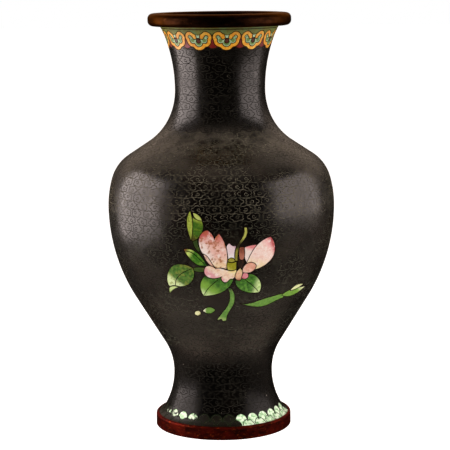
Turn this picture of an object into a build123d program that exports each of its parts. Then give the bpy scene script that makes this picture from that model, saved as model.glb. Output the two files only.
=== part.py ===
"""Cloisonne vase: brazed copper body, cast rim and foot rings, wires and enamel cells.

Frame: millimetres, +Z up, origin at the centre of the foot's resting face. The flower spray faces -Y.
The wall is one chain of tangent bends. Every layer follows it at its own depth below the outer surface:
cells and black ground enamel, then copper, then the lining enamel.
"""

import os
from math import cos, radians, sin

from build123d import *

# ---------------------------------------------------------------- driving dimensions
VASE_HEIGHT = 305.0
ENAMEL = 1.0  # thickness of the outer enamel
COPPER = 1.0  # thickness of the body's sheet
LINING = 0.5  # thickness of the enamel inside
WIRE = 0.5  # width of a cell wire, seen from the front
PROUD = 0.08  # height of a wire above the polished enamel

# The wall at the outer surface, from the foot up: each bend is (radius, turn in degrees), turning
# left (belly) where positive and right (waist and neck) where negative. A straight is (length, 0).
WALL_START = (48.3, 9.2)
WALL_START_HEADING = 155.0
WALL_BENDS = [
    (9.5, -34.0),  # foot flare
    (54.0, -31.0),  # foot
    (44.5, -31.5),  # waist
    (4.0, 0.0),  # waist lap
    (36.0, 0.0),  # lower belly
    (128.5, 31.5),  # belly
    (73.0, 3.0),  # belly lap
    (73.0, 13.5),  # upper belly
    (29.0, 40.0),  # shoulder
    (14.5, 0.0),  # slope to the neck
    (4.0, 0.0),  # neck lap
    (43.5, -38.5),  # neck root
    (49.5, -18.0),  # neck
    (111.0, -19.0),  # throat
    (55.0, -11.0),  # mouth
]
WAIST_LAP = 3
BELLY_LAP = 6
NECK_LAP = 10
MOUTH = len(WALL_BENDS)

RIM_RADIUS = 52.0
RIM_BOTTOM = 296.0
RIM_ROUND = 3.6
RIM_INNER_ROUND = 2.0

FOOT_RADIUS = 50.25
FOOT_INNER_RADIUS = 45.0
FOOT_TOP = 9.7
FOOT_ROUND = 1.6
FOOT_CHAMFER = 0.6
BASE_SEAT_RADIUS = 46.6
BASE_SEAT = 5.9
BASE_ENAMEL = 0.8

HEAD_COUNT = 12  # ruyi heads round the collar
HEAD_PHASE = 7.5  # turn of the first head from the front, towards +X
HEAD_BAND = 2.1  # width of a head's yellow border
HEAD_DISCS = [  # a head's outline is the union of these discs: (half-spacing, height, radius)
    (6.3, 289.3, 3.6),
    (4.4, 286.9, 4.6),
    (0.0, 285.4, 5.4),
]
HEAD_NOTCH = (292.9, 2.7)  # height and radius of the dip between the two ears
HEAD_THROAT = 1.3  # half-width of the opening between the border's ends
HOOK = (2.7, 289.0, 1.25)  # the border's curled ends: half-spacing, height, radius
EYE = (286.4, 1.3)  # the red dot's height and radius
GAP_DISC = (285.9, 4.6)  # the red cell between two heads: height and radius
GAP_TOP = 290.2
GAP_NECK = 1.6  # half-width of the red cell's narrow top
COLLAR_SPLIT = 287.0  # the green collar enamel meets the red cells here

SCALE_COUNT = 30  # scales in each row round the foot
SCALE_PHASE = 17.0
UPPER_SCALE = (12.5, 4.1)  # height and radius
LOWER_SCALE = (8.5, 4.3)
SCALE_WIRE = 0.4

FRONT_REACH = 120.0  # how far a front-view outline is extruded towards -Y

# The spray, seen from the front in (x, z). A cell is a closed chain of stretches: two points make a
# line, three an arc and more a spline. Cells that lie in front come first and cover the later ones.
PISTIL_CUP = [
    [(3.9, 135.9), (3.6, 133.0), (4.0, 130.6)],
    [(4.0, 130.6), (6.4, 129.9), (9.8, 130.8)],
    [(9.8, 130.8), (9.9, 136.0)],
    [(9.9, 136.0), (6.8, 135.2), (3.9, 135.9)],
]
PISTIL_TOP = [
    [(4.4, 136.6), (6.6, 135.9), (8.8, 136.6)],
    [(8.8, 136.6), (6.6, 138.8), (4.4, 136.6)],
]
STAMEN = [
    [(9.3, 136.8), (9.4, 143.0), (10.9, 148.2), (14.2, 153.0), (15.7, 160.2)],
    [(15.7, 160.2), (16.8, 160.4), (17.4, 159.0)],
    [(17.4, 159.0), (15.9, 152.6), (12.4, 147.6), (11.0, 142.5), (10.8, 136.8)],
    [(10.8, 136.8), (9.3, 136.8)],
]
SALMON_PETAL = [
    [(14.4, 128.3), (16.2, 133.2), (20.2, 135.0), (23.5, 132.9), (21.4, 128.9), (17.2, 127.7), (14.4, 128.3)],
]
SMALL_PETAL = [
    [(14.6, 126.9), (17.9, 126.6), (16.6, 123.4)],
    [(16.6, 123.4), (14.9, 123.2), (13.6, 124.0)],
    [(13.6, 124.0), (14.6, 126.9)],
]
ORANGE_PETAL = [
    [(12.6, 131.0), (14.0, 128.6), (13.9, 126.2), (13.4, 123.6), (12.2, 122.2)],
    [(12.2, 122.2), (10.2, 122.8), (9.2, 124.8)],
    [(9.2, 124.8), (10.2, 128.4), (12.6, 131.0)],
]
FRONT_PETAL = [
    [(-4.6, 131.0), (0.5, 130.9), (5.2, 129.4), (9.8, 130.2)],
    [(9.8, 130.2), (9.6, 126.6), (7.2, 123.4)],
    [(7.2, 123.4), (4.8, 122.9), (3.2, 121.3), (1.0, 121.4), (-0.4, 123.4), (1.0, 126.2)],
    [(1.0, 126.2), (-1.6, 124.9), (-6.2, 124.1), (-10.6, 125.6), (-12.3, 129.2), (-10.6, 132.8), (-7.4, 132.9),
     (-4.6, 131.0)],
]
LEFT_PETAL = [
    [(3.0, 131.0), (3.6, 137.0), (2.4, 148.0), (-1.8, 156.2)],
    [(-1.8, 156.2), (-4.3, 153.6), (-5.2, 149.6)],
    [(-5.2, 149.6), (-6.4, 155.4), (-10.0, 158.8)],
    [(-10.0, 158.8), (-14.6, 155.4), (-15.7, 149.6), (-13.2, 142.4)],
    [(-13.2, 142.4), (-9.8, 140.2), (-7.4, 136.4), (-3.8, 131.7)],
    [(-3.8, 131.7), (-0.4, 131.9), (3.0, 131.0)],
]
UNDER_PETAL = [
    [(-12.9, 142.6), (-9.0, 141.0), (-3.8, 131.0)],
    [(-3.8, 131.0), (-9.6, 135.6), (-12.9, 142.6)],
]
RED_PETAL = [
    [(12.4, 146.0), (13.9, 146.6), (15.3, 146.2)],
    [(15.3, 146.2), (15.6, 142.0), (15.0, 138.0)],
    [(15.0, 138.0), (13.6, 137.4), (12.4, 138.2)],
    [(12.4, 138.2), (12.0, 142.0), (12.4, 146.0)],
]
FLOWER_EYE = [
    [(11.3, 137.8), (15.2, 137.4)],
    [(15.2, 137.4), (14.6, 133.4), (12.6, 130.8)],
    [(12.6, 130.8), (11.2, 133.8), (11.3, 137.8)],
]
BACK_PETAL = [
    [(4.6, 137.4), (4.1, 142.0), (3.3, 146.2)],
    [(3.3, 146.2), (4.0, 148.4), (5.4, 149.5)],
    [(5.4, 149.5), (7.2, 147.8), (9.8, 147.4)],
    [(9.8, 147.4), (8.8, 143.6), (8.8, 137.4)],
    [(8.8, 137.4), (4.6, 137.4)],
]
RIGHT_PETAL = [
    [(17.4, 135.2), (20.4, 141.4), (24.4, 147.2), (29.0, 150.8), (34.0, 152.6)],
    [(34.0, 152.6), (36.7, 147.0), (36.0, 139.4), (30.4, 133.0), (22.6, 129.8)],
    [(22.6, 129.8), (19.4, 131.8), (17.4, 135.2)],
]
RIGHT_BACK_PETAL = [
    [(15.8, 146.2), (20.0, 147.3), (24.6, 147.6)],
    [(24.6, 147.6), (20.8, 141.4), (17.2, 135.2)],
    [(17.2, 135.2), (15.7, 140.4), (15.8, 146.2)],
]
LOWER_LEFT_LEAF = [
    [(-12.8, 110.6), (-15.1, 118.4), (-12.2, 125.4)],
    [(-12.2, 125.4), (-2.0, 126.4), (7.6, 122.8)],
    [(7.6, 122.8), (3.0, 115.8), (-3.4, 112.2), (-12.8, 110.6)],
]
LOWER_LEFT_VEIN = [(-12.4, 111.4), (-10.4, 115.4), (-6.6, 119.6), (-3.0, 122.8)]
LOWER_RIGHT_LEAF = [
    [(25.6, 112.2), (26.9, 118.8), (23.2, 124.8), (17.6, 126.6)],
    [(17.6, 126.6), (13.0, 125.4), (9.2, 121.4)],
    [(9.2, 121.4), (11.6, 116.2), (17.4, 112.8), (25.6, 112.2)],
]
LOWER_RIGHT_VEIN = [(25.2, 112.7), (22.4, 116.4), (19.0, 119.8), (15.8, 122.4)]
UPPER_LEAF = [
    [(-26.3, 144.9), (-20.4, 144.5), (-15.6, 141.0), (-10.4, 133.6)],
    [(-10.4, 133.6), (-15.4, 133.4), (-20.8, 136.8), (-26.3, 144.9)],
]
UPPER_VEIN = [(-25.0, 143.6), (-20.4, 142.4), (-16.4, 139.0), (-12.6, 135.2)]
LEFT_LEAF = [
    [(-20.3, 131.2), (-26.6, 133.6), (-33.4, 132.6), (-37.8, 126.4), (-36.9, 116.4)],
    [(-36.9, 116.4), (-34.2, 117.5), (-31.4, 117.3)],
    [(-31.4, 117.3), (-24.4, 118.6), (-20.3, 131.2)],
]
LEFT_VEIN = [(-21.0, 130.8), (-26.4, 128.2), (-31.0, 124.0), (-32.8, 117.8)]
LEFT_LEAF_TIP = [
    [(-36.6, 115.7), (-33.8, 116.6), (-30.8, 116.2)],
    [(-30.8, 116.2), (-34.4, 114.2), (-36.8, 111.2)],
    [(-36.8, 111.2), (-37.3, 113.6), (-36.6, 115.7)],
]
SIDE_STEM = [
    [(-20.2, 131.4), (-16.2, 132.0), (-12.2, 131.8)],
    [(-12.2, 131.8), (-12.6, 128.9)],
    [(-12.6, 128.9), (-16.4, 128.8), (-20.0, 129.6)],
    [(-20.0, 129.6), (-20.2, 131.4)],
]
BUD_LEFT_SEPAL = [
    [(-21.6, 172.0), (-23.6, 166.8), (-23.1, 158.2), (-21.2, 151.4)],
    [(-21.2, 151.4), (-20.3, 158.0), (-20.3, 165.6), (-21.6, 172.0)],
]
BUD_RIGHT_SEPAL = [
    [(-19.5, 170.8), (-16.3, 169.4), (-13.6, 165.7)],
    [(-13.6, 165.7), (-16.9, 166.5), (-19.5, 170.8)],
]
BUD_BODY = [
    [(-19.8, 167.6), (-16.9, 165.9), (-13.8, 165.2)],
    [(-13.8, 165.2), (-12.9, 160.6), (-15.4, 154.6), (-19.4, 151.2)],
    [(-19.4, 151.2), (-21.0, 151.4)],
    [(-21.0, 151.4), (-19.9, 159.0), (-19.8, 167.6)],
]
BUD_STEM = [
    [(-19.9, 151.0), (-18.8, 147.2), (-16.2, 143.4)],
    [(-16.2, 143.4), (-14.4, 144.6)],
    [(-14.4, 144.6), (-16.2, 147.6), (-16.9, 151.8)],
    [(-16.9, 151.8), (-19.9, 151.0)],
]
MAIN_STEM = [
    [(4.0, 116.2), (5.5, 109.6), (4.2, 103.4), (0.2, 97.0), (-3.7, 90.9)],
    [(-3.7, 90.9), (-0.8, 91.8)],
    [(-0.8, 91.8), (0.3, 90.2)],
    [(0.3, 90.2), (2.6, 90.4)],
    [(2.6, 90.4), (4.5, 97.6), (8.0, 104.6), (8.4, 110.8), (5.9, 116.6)],
    [(5.9, 116.6), (4.0, 116.2)],
]
TWIG = [
    [(12.6, 104.0), (20.0, 103.6), (27.0, 105.6), (35.0, 107.4), (43.0, 108.4)],
    [(43.0, 108.4), (43.4, 105.4)],
    [(43.4, 105.4), (37.0, 103.5), (29.0, 100.6), (20.0, 101.4), (12.6, 104.0)],
]
TWIG_BUD_SEPAL = [
    [(48.6, 110.0), (53.0, 113.3), (58.0, 113.0)],
    [(58.0, 113.0), (53.6, 110.9), (48.6, 110.0)],
]
TWIG_BUD = [
    [(42.4, 107.4), (46.4, 109.8), (52.6, 110.8), (59.2, 110.4)],
    [(59.2, 110.4), (54.6, 107.4), (48.6, 105.6), (42.4, 107.4)],
]
FALLEN_BUD = [
    [(-13.6, 98.4), (-9.2, 101.2), (-5.2, 99.2)],
    [(-5.2, 99.2), (-8.6, 96.5), (-13.6, 98.4)],
]
SEED = [
    [(-19.4, 95.3), (-17.0, 98.0), (-15.4, 96.2)],
    [(-15.4, 96.2), (-16.9, 94.3), (-19.4, 95.3)],
]
SPRAY_CELLS = {
    "pistil_cup": PISTIL_CUP,
    "pistil_top": PISTIL_TOP,
    "stamen": STAMEN,
    "petal_salmon": SALMON_PETAL,
    "petal_small": SMALL_PETAL,
    "petal_orange": ORANGE_PETAL,
    "petal_front": FRONT_PETAL,
    "petal_left": LEFT_PETAL,
    "petal_under": UNDER_PETAL,
    "petal_red": RED_PETAL,
    "flower_eye": FLOWER_EYE,
    "petal_back": BACK_PETAL,
    "petal_right": RIGHT_PETAL,
    "petal_right_back": RIGHT_BACK_PETAL,
    "leaf_lower_left": LOWER_LEFT_LEAF,
    "leaf_lower_right": LOWER_RIGHT_LEAF,
    "leaf_upper": UPPER_LEAF,
    "leaf_left": LEFT_LEAF,
    "leaf_left_tip": LEFT_LEAF_TIP,
    "stem_side": SIDE_STEM,
    "bud_left_sepal": BUD_LEFT_SEPAL,
    "bud_right_sepal": BUD_RIGHT_SEPAL,
    "bud_body": BUD_BODY,
    "stem_bud": BUD_STEM,
    "stem_main": MAIN_STEM,
    "twig_bud_sepal": TWIG_BUD_SEPAL,
    "twig_bud": TWIG_BUD,
    "twig": TWIG,
    "fallen_bud": FALLEN_BUD,
    "seed": SEED,
}
VEINS = {
    "leaf_lower_left": LOWER_LEFT_VEIN,
    "leaf_lower_right": LOWER_RIGHT_VEIN,
    "leaf_upper": UPPER_VEIN,
    "leaf_left": LEFT_VEIN,
}

# ---------------------------------------------------------------- the wall


def wall_joints():
    """The (radius, height, heading) at each joint between bends, on the outer surface."""
    radius, height, heading = *WALL_START, WALL_START_HEADING
    joints = [(radius, height, heading)]
    for size, turn in WALL_BENDS:
        if turn == 0:
            radius += size * cos(radians(heading))
            height += size * sin(radians(heading))
        else:
            side = 1 if turn > 0 else -1
            after = heading + turn
            radius += side * size * (sin(radians(after)) - sin(radians(heading)))
            height += side * size * (cos(radians(heading)) - cos(radians(after)))
            heading = after
        joints.append((radius, height, heading))
    return joints


JOINTS = wall_joints()


def wall_point(joint, depth):
    """The point at a depth below a joint, measured square to the wall."""
    radius, height, heading = JOINTS[joint]
    return (radius - depth * sin(radians(heading)), height + depth * cos(radians(heading)))


def wall_line(depth, first, last):
    """Draw the wall at one depth, from joint first to joint last, inside a BuildLine."""
    for joint in range(first, last):
        size, turn = WALL_BENDS[joint]
        heading = JOINTS[joint][2]
        start = wall_point(joint, depth)
        if turn == 0:
            Line(start, wall_point(joint + 1, depth))
        else:
            inward = -depth if turn > 0 else depth
            JernArc(start, (cos(radians(heading)), sin(radians(heading))), size + inward, turn)


def layer_face(outer, inner, first, last):
    """Draw the section of a layer between two depths, inside a BuildSketch on Plane.XZ."""
    with BuildLine() as section:
        wall_line(outer, first, last)
        wall_line(inner, first, last)
        Line(wall_point(first, outer), wall_point(first, inner))
        Line(wall_point(last, outer), wall_point(last, inner))
    make_face(section.edges())


def spin_layer(outer, inner, first=0, last=MOUTH):
    """Revolve a layer of the wall, inside a BuildPart."""
    with BuildSketch(Plane.XZ) as section:
        layer_face(outer, inner, first, last)
    revolve(section.sketch, axis=Axis.Z)


os.makedirs("parts", exist_ok=True)


def finish(name, part):
    """Label a finished piece and write its STEP file."""
    part.label = name
    export_step(part, f"parts/{name}.step")


# ---------------------------------------------------------------- copper body, in four lapped sections
SHEET = ENAMEL + COPPER
MID_SHEET = ENAMEL + COPPER / 2


def shell_section(low_lap, high_lap):
    """Revolve a copper section: its own bends, an outer half lap below and an inner half lap above."""
    first = 0 if low_lap is None else low_lap + 1
    last = MOUTH if high_lap is None else high_lap
    with BuildSketch(Plane.XZ) as section:
        layer_face(ENAMEL, SHEET, first, last)
        if low_lap is not None:
            layer_face(ENAMEL, MID_SHEET, low_lap, first)
        if high_lap is not None:
            layer_face(MID_SHEET, SHEET, last, last + 1)
    revolve(section.sketch, axis=Axis.Z)


with BuildPart() as foot_shell:
    shell_section(None, WAIST_LAP)
finish("foot_shell", foot_shell.part)

with BuildPart() as belly_shell:
    shell_section(WAIST_LAP, BELLY_LAP)
finish("belly_shell", belly_shell.part)

with BuildPart() as shoulder_shell:
    shell_section(BELLY_LAP, NECK_LAP)
finish("shoulder_shell", shoulder_shell.part)

with BuildPart() as neck_shell:
    shell_section(NECK_LAP, None)
finish("neck_shell", neck_shell.part)

# ---------------------------------------------------------------- rim ring, foot ring and base
with BuildPart() as rim_ring:
    with BuildSketch(Plane.XZ) as rim_section:
        bore_radius = wall_point(MOUTH, SHEET + LINING)[0]
        with BuildLine():
            Polyline(
                (RIM_RADIUS, RIM_BOTTOM),
                wall_point(MOUTH, 0),
                wall_point(MOUTH, SHEET + LINING),
                (bore_radius, VASE_HEIGHT),
                (RIM_RADIUS, VASE_HEIGHT),
                close=True,
            )
        make_face()
        outer_corners = rim_section.vertices().group_by(Axis.X)[-1]
        fillet(outer_corners, RIM_ROUND)
        fillet(rim_section.vertices().group_by(Axis.Y)[-1].sort_by(Axis.X)[0], RIM_INNER_ROUND)
    revolve(axis=Axis.Z)
finish("rim_ring", rim_ring.part)

with BuildPart() as foot_ring:
    with BuildSketch(Plane.XZ) as foot_section:
        seat = wall_point(0, SHEET + LINING)
        with BuildLine():
            Polyline(
                (FOOT_INNER_RADIUS, 0),
                (FOOT_RADIUS, 0),
                (FOOT_RADIUS, FOOT_TOP),
                (WALL_START[0], FOOT_TOP),
                wall_point(0, 0),
                seat,
                (BASE_SEAT_RADIUS, seat[1]),
                (BASE_SEAT_RADIUS, BASE_SEAT),
                (FOOT_INNER_RADIUS, BASE_SEAT),
                close=True,
            )
        make_face()
        fillet(foot_section.vertices().group_by(Axis.Y)[-1].sort_by(Axis.X)[-1], FOOT_ROUND)
        chamfer(foot_section.vertices().group_by(Axis.Y)[0], FOOT_CHAMFER)
    revolve(axis=Axis.Z)
finish("foot_ring", foot_ring.part)

BASE_TOP = wall_point(0, SHEET + LINING)[1]

with BuildPart() as base_plate:
    with BuildSketch(Plane.XY.offset(BASE_SEAT)):
        Circle(BASE_SEAT_RADIUS)
    extrude(amount=BASE_TOP - BASE_SEAT)
finish("base_plate", base_plate.part)

with BuildPart() as base_enamel:
    with BuildSketch(Plane.XY.offset(BASE_SEAT)):
        Circle(FOOT_INNER_RADIUS)
    extrude(amount=-BASE_ENAMEL)
finish("base_enamel", base_enamel.part)

with BuildPart() as lining_enamel:
    spin_layer(SHEET, SHEET + LINING)
    with BuildSketch(Plane.XY.offset(BASE_TOP)):
        Circle(wall_point(0, SHEET + LINING)[0])
    extrude(amount=LINING)
finish("lining_enamel", lining_enamel.part)

# ---------------------------------------------------------------- collar of ruyi heads


def head_outline(grow):
    """Draw a head's outline, grown by a distance, inside a BuildSketch."""
    for spacing, height, radius in HEAD_DISCS:
        for side in (-1, 1):
            with Locations((side * spacing, height)):
                Circle(radius + grow)
    notch_height, notch_radius = HEAD_NOTCH
    with Locations((0, notch_height)):
        Circle(notch_radius - grow, mode=Mode.SUBTRACT)


def head_throat(grow):
    """Draw the opening at a head's top, where the border's two ends stop."""
    notch_height, notch_radius = HEAD_NOTCH
    with Locations((0, notch_height - notch_radius)):
        Rectangle(2 * (HEAD_THROAT + grow), 2 * HEAD_BAND)


def head_hooks(grow, mode):
    """Draw the two curled ends of a head's border."""
    spacing, height, radius = HOOK
    for side in (-1, 1):
        with Locations((side * spacing, height)):
            Circle(radius + grow, mode=mode)


def eye_disc(grow, mode=Mode.ADD):
    """Draw a head's round eye."""
    with Locations((0, EYE[0])):
        Circle(EYE[1] + grow, mode=mode)


def gap_outline(grow):
    """Draw the cell between two heads, before the heads are cut from it."""
    height, radius = GAP_DISC
    with Locations((0, height)):
        Circle(radius + grow)
    with Locations((0, (height + GAP_TOP + grow) / 2)):
        Rectangle(2 * (GAP_NECK + grow), GAP_TOP + grow - height)


with BuildSketch(Plane.XZ) as head_region:
    head_outline(WIRE)

with BuildSketch(Plane.XZ) as throat_region:
    head_throat(0)

with BuildSketch(Plane.XZ) as wide_throat_region:
    head_throat(WIRE)

with BuildSketch(Plane.XZ) as inner_region:
    head_outline(-HEAD_BAND)

with BuildSketch(Plane.XZ) as border_region:
    head_outline(0)
    add(inner_region.sketch_local, mode=Mode.SUBTRACT)
    add(wide_throat_region.sketch_local, mode=Mode.SUBTRACT)
    head_hooks(0, Mode.ADD)

with BuildSketch(Plane.XZ) as field_region:
    head_outline(-HEAD_BAND - WIRE)
    add(throat_region.sketch_local)
    with Locations((0, HEAD_NOTCH[0])):
        Circle(HEAD_NOTCH[1], mode=Mode.SUBTRACT)
    head_hooks(WIRE, Mode.SUBTRACT)
    eye_disc(WIRE, Mode.SUBTRACT)

with BuildSketch(Plane.XZ) as eye_region:
    eye_disc(0)

with BuildSketch(Plane.XZ) as gap_region:
    gap_outline(0)

with BuildSketch(Plane.XZ) as wide_gap_region:
    gap_outline(WIRE)

COLLAR_FIRST = MOUTH - 2


def cut_from_layer(region, outer, first, last):
    """Extrude a front-view region and keep what lies in a layer of the wall, inside a BuildPart."""
    spin_layer(outer, ENAMEL, first, last)
    extrude(region.sketch, amount=FRONT_REACH, mode=Mode.INTERSECT)


def largest(part):
    """The largest solid of a part, without slivers where outlines nearly touch."""
    return part.solids().sort_by(SortBy.VOLUME)[-1]


def ring_of(piece, count, phase, mode=Mode.ADD):
    """Repeat a front piece round the axis, turned by a phase towards +X, inside a BuildPart."""
    with PolarLocations(0, count, start_angle=phase):
        add(piece, mode=mode)


HEAD_PITCH = 360 / HEAD_COUNT

with BuildPart() as one_head:
    cut_from_layer(head_region, -PROUD, COLLAR_FIRST, MOUTH)

with BuildPart() as one_wide_gap:
    cut_from_layer(wide_gap_region, -PROUD, COLLAR_FIRST, MOUTH)

with BuildPart() as one_border:
    cut_from_layer(border_region, 0, COLLAR_FIRST, MOUTH)

with BuildPart() as one_field:
    cut_from_layer(field_region, 0, COLLAR_FIRST, MOUTH)

with BuildPart() as one_eye:
    cut_from_layer(eye_region, 0, COLLAR_FIRST, MOUTH)

with BuildPart() as one_gap:
    cut_from_layer(gap_region, 0, COLLAR_FIRST, MOUTH)
    ring_of(one_head.part, 2, HEAD_PITCH / 2, Mode.SUBTRACT)
    ring_of(one_head.part, 2, -HEAD_PITCH / 2, Mode.SUBTRACT)

with BuildPart() as ruyi_borders:
    ring_of(one_border.part, HEAD_COUNT, HEAD_PHASE)
finish("ruyi_borders", ruyi_borders.part)

with BuildPart() as ruyi_fields:
    ring_of(one_field.part, HEAD_COUNT, HEAD_PHASE)
finish("ruyi_fields", ruyi_fields.part)

with BuildPart() as ruyi_eyes:
    ring_of(one_eye.part, HEAD_COUNT, HEAD_PHASE)
finish("ruyi_eyes", ruyi_eyes.part)

with BuildPart() as gap_cells:
    ring_of(largest(one_gap.part), HEAD_COUNT, HEAD_PHASE + HEAD_PITCH / 2)
finish("gap_cells", gap_cells.part)


def cut_collar_cells():
    """Cut the twelve heads and the twelve red cells, with their wires, from the part being built."""
    ring_of(one_head.part, HEAD_COUNT, HEAD_PHASE, Mode.SUBTRACT)
    ring_of(one_wide_gap.part, HEAD_COUNT, HEAD_PHASE + HEAD_PITCH / 2, Mode.SUBTRACT)


with BuildPart() as collar_enamel:
    spin_layer(0, ENAMEL, COLLAR_FIRST, MOUTH)
    split(bisect_by=Plane.XY.offset(COLLAR_SPLIT), keep=Keep.TOP)
    cut_collar_cells()
finish("collar_enamel", collar_enamel.part)

with BuildPart() as ground_neck:
    spin_layer(0, ENAMEL, NECK_LAP, MOUTH)
    split(bisect_by=Plane.XY.offset(COLLAR_SPLIT), keep=Keep.BOTTOM)
    cut_collar_cells()
finish("ground_neck", ground_neck.part)

# ---------------------------------------------------------------- scale border round the foot


def scale_disc(scale, grow):
    """Draw one scale's disc, seen from the front, inside a BuildSketch."""
    height, radius = scale
    with Locations((0, height)):
        Circle(radius + grow)


with BuildSketch(Plane.XZ) as upper_scale_region:
    scale_disc(UPPER_SCALE, 0)

with BuildSketch(Plane.XZ) as wide_upper_scale_region:
    scale_disc(UPPER_SCALE, SCALE_WIRE)

with BuildSketch(Plane.XZ) as lower_scale_region:
    scale_disc(LOWER_SCALE, 0)

with BuildSketch(Plane.XZ) as wide_lower_scale_region:
    scale_disc(LOWER_SCALE, SCALE_WIRE)

SCALE_LAST = 2
SCALE_PITCH = 360 / SCALE_COUNT

with BuildPart() as one_wide_upper_scale:
    cut_from_layer(wide_upper_scale_region, -PROUD, 0, SCALE_LAST)

with BuildPart() as one_wide_lower_scale:
    cut_from_layer(wide_lower_scale_region, -PROUD, 0, SCALE_LAST)

with BuildPart() as one_upper_scale:
    cut_from_layer(upper_scale_region, 0, 0, SCALE_LAST)
    with PolarLocations(0, 1, start_angle=SCALE_PITCH / 2):
        add(one_wide_lower_scale.part, mode=Mode.SUBTRACT)
    with PolarLocations(0, 1, start_angle=-SCALE_PITCH / 2):
        add(one_wide_lower_scale.part, mode=Mode.SUBTRACT)

with BuildPart() as one_lower_scale:
    cut_from_layer(lower_scale_region, 0, 0, SCALE_LAST)

with BuildPart() as scales_upper:
    ring_of(one_upper_scale.part, SCALE_COUNT, SCALE_PHASE)
finish("scales_upper", scales_upper.part)

with BuildPart() as scales_lower:
    ring_of(one_lower_scale.part, SCALE_COUNT, SCALE_PHASE + SCALE_PITCH / 2)
finish("scales_lower", scales_lower.part)

with BuildPart() as ground_foot:
    spin_layer(0, ENAMEL, 0, WAIST_LAP)
    ring_of(one_wide_upper_scale.part, SCALE_COUNT, SCALE_PHASE, Mode.SUBTRACT)
    ring_of(one_wide_lower_scale.part, SCALE_COUNT, SCALE_PHASE + SCALE_PITCH / 2, Mode.SUBTRACT)
finish("ground_foot", ground_foot.part)

# ---------------------------------------------------------------- flower spray


def draw_outline(stretches):
    """Draw a closed outline from its stretches, inside a BuildSketch."""
    with BuildLine() as outline:
        for stretch in stretches:
            if len(stretch) == 2:
                Line(*stretch)
            elif len(stretch) == 3:
                ThreePointArc(*stretch)
            else:
                Spline(*stretch)
    make_face(outline.edges())


def plain_edge(edge):
    """An edge as it is, or a spline along it where it is an offset curve, which STEP can't sweep."""
    if edge.geom_type == GeomType.OFFSET:
        return Edge.make_spline([edge @ (step / OFFSET_STEPS) for step in range(OFFSET_STEPS + 1)])
    return edge


def vein_strip(points):
    """Draw a wire's width along a leaf's midrib, inside a BuildSketch."""
    with BuildLine() as rib:
        Spline(*points)
    trace(rib.line, WIRE)


SPRAY_FIRST = WAIST_LAP
SPRAY_LAST = NECK_LAP
OFFSET_STEPS = 12  # spans of the spline that stands for an offset curve
SLIVER = 0.5  # solids below this volume are left out

covered = None
cell_regions = {}
for cell_name, stretches in SPRAY_CELLS.items():
    with BuildSketch(Plane.XZ) as cell_region:
        draw_outline(stretches)
        if covered is not None:
            add(covered, mode=Mode.SUBTRACT)
        if cell_name in VEINS:
            with BuildSketch(Plane.XZ, mode=Mode.PRIVATE) as vein:
                vein_strip(VEINS[cell_name])
            add(vein.sketch_local, mode=Mode.SUBTRACT)
    cell_regions[cell_name] = cell_region
    with BuildSketch(Plane.XZ) as offset_outline:
        draw_outline(stretches)
        offset(amount=WIRE, kind=Kind.ARC)
    with BuildSketch(Plane.XZ) as grown:
        make_face([plain_edge(edge) for edge in offset_outline.sketch_local.edges()])
        if covered is not None:
            add(covered)
    covered = grown.sketch_local

for cell_name, cell_region in cell_regions.items():
    with BuildPart() as whole_cell:
        cut_from_layer(cell_region, 0, SPRAY_FIRST, SPRAY_LAST)
    with BuildPart() as spray_cell:
        add(largest(whole_cell.part))
    finish(cell_name, spray_cell.part)

with BuildSketch(Plane.XZ) as wire_region:
    add(covered)
    for cell_region in cell_regions.values():
        add(cell_region.sketch_local, mode=Mode.SUBTRACT)

with BuildPart() as spray_wires:
    cut_from_layer(wire_region, -PROUD, SPRAY_FIRST, SPRAY_LAST)
finish("spray_wires", spray_wires.part)

with BuildPart() as whole_ground:
    spin_layer(0, ENAMEL, SPRAY_FIRST, SPRAY_LAST)
    with BuildSketch(Plane.XZ):
        add(covered)
    extrude(amount=FRONT_REACH, mode=Mode.SUBTRACT)

with BuildPart() as ground_belly:
    add([solid for solid in whole_ground.part.solids() if solid.volume > SLIVER])
finish("ground_belly", ground_belly.part)
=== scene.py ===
"""Cloisonne vase: enamel, wire and patina finishes, and the scroll wires that hold the ground enamel."""

import logging
import math
from collections.abc import Callable
from dataclasses import dataclass, field
from enum import Enum

import bpy
import numpy as np
from mathutils import Matrix, Vector


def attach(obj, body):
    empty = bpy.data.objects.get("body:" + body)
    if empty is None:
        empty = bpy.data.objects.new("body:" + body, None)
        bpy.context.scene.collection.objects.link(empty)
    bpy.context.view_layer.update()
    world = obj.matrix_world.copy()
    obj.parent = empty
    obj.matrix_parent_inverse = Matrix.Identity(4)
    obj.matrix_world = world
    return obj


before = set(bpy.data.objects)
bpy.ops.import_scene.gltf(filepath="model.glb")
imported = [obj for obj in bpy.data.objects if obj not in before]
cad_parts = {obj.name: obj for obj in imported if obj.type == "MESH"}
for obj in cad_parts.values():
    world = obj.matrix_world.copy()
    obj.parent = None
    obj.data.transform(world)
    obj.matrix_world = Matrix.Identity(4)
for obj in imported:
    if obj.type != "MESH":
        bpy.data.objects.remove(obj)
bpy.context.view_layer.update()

LOG = logging.getLogger("vase")
MM = 0.001
TURN = 2.0 * math.pi
Colour = tuple[float, float, float]
Span = tuple[float, float]


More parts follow.
